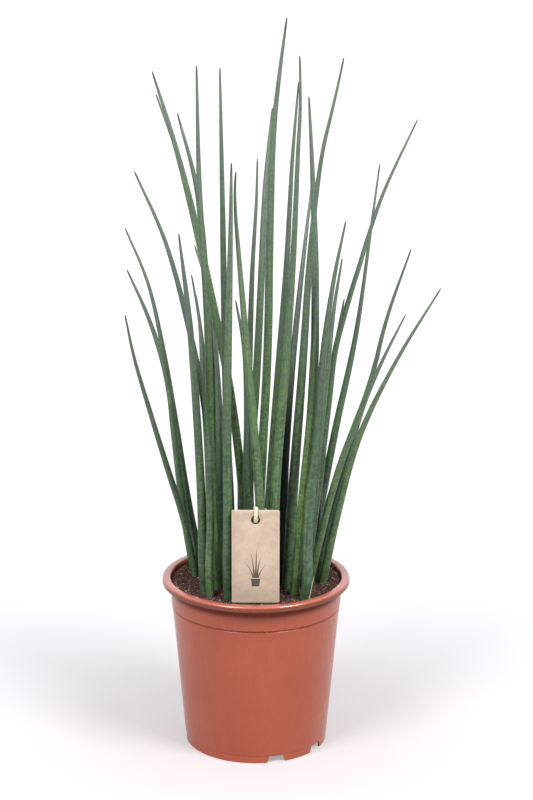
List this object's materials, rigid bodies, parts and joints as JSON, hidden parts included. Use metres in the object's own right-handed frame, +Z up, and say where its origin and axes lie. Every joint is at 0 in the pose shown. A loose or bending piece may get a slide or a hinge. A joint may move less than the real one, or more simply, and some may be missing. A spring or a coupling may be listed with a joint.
{
  "type": "potted mikado snake plant",
  "caption": "Bushy snake plant with slim, round, upright leaves standing in the soil of a tapered plastic nursery pot, with a small card tag tied to one leaf.",
  "frame": {"origin": "centre of the pot's underside, on the surface that it stands on", "axes": "+Z up along the pot's axis and the leaves, -Y towards the front, where the card tag stands, +X to the right seen from the front"},
  "size_m": [0.3124, 0.2614, 0.7371],
  "materials": {
    "pot_plastic": "satin",
    "potting_soil": "matte",
    "leaf": "satin",
    "tag_card": "matte",
    "tag_cord": "matte"
  },
  "bodies": {
    "root": {"pot": "pot_plastic", "soil": "potting_soil", "leaf_01": "leaf", "leaf_02": "leaf", "leaf_03": "leaf", "leaf_04": "leaf", "leaf_05": "leaf", "leaf_06": "leaf", "leaf_07": "leaf", "leaf_08": "leaf", "leaf_09": "leaf", "leaf_10": "leaf", "leaf_11": "leaf", "leaf_12": "leaf", "leaf_13": "leaf", "leaf_14": "leaf", "leaf_15": "leaf", "leaf_16": "leaf", "leaf_17": "leaf", "leaf_18": "leaf", "leaf_19": "leaf", "leaf_20": "leaf", "leaf_21": "leaf", "leaf_22": "leaf", "leaf_23": "leaf", "leaf_24": "leaf", "leaf_25": "leaf", "leaf_26": "leaf", "leaf_27": "leaf", "leaf_28": "leaf", "leaf_29": "leaf", "leaf_30": "leaf", "leaf_31": "leaf", "leaf_32": "leaf", "leaf_33": "leaf", "leaf_34": "leaf", "leaf_35": "leaf", "leaf_36": "leaf", "leaf_37": "leaf", "leaf_38": "leaf", "leaf_39": "leaf", "leaf_40": "leaf", "tag_card": "tag_card", "tag_cord": "tag_cord"}
  },
  "joints": []
}
